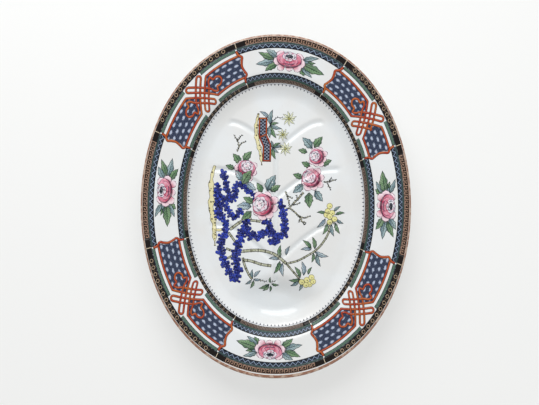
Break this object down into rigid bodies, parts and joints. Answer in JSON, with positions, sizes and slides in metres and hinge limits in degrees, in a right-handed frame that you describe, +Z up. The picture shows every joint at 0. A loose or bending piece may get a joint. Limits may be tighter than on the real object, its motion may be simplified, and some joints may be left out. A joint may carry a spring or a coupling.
{
  "type": "serving platter",
  "caption": "Large oval earthenware meat platter with a broad sloping rim, a drainage tree sunk in the floor, a gravy well and luted feet.",
  "frame": {"origin": "centre of the platter's outline, on the plane that its three feet stand on", "axes": "+Z up, out of the serving face; +Y along the long axis, towards the top of the drainage tree, with the gravy well at -Y; +X across, to the right when the well is nearest"},
  "size_m": [0.419, 0.533, 0.052],
  "materials": {
    "glazed_body": "glossy clear glaze over a printed and enamelled white body",
    "feet": "glossy glaze, wiped off the faces that stand on the table"
  },
  "bodies": {
    "root": {"platter_body": "glazed_body", "well_foot_rim": "feet", "bar_foot_right": "feet", "bar_foot_left": "feet"}
  },
  "joints": []
}
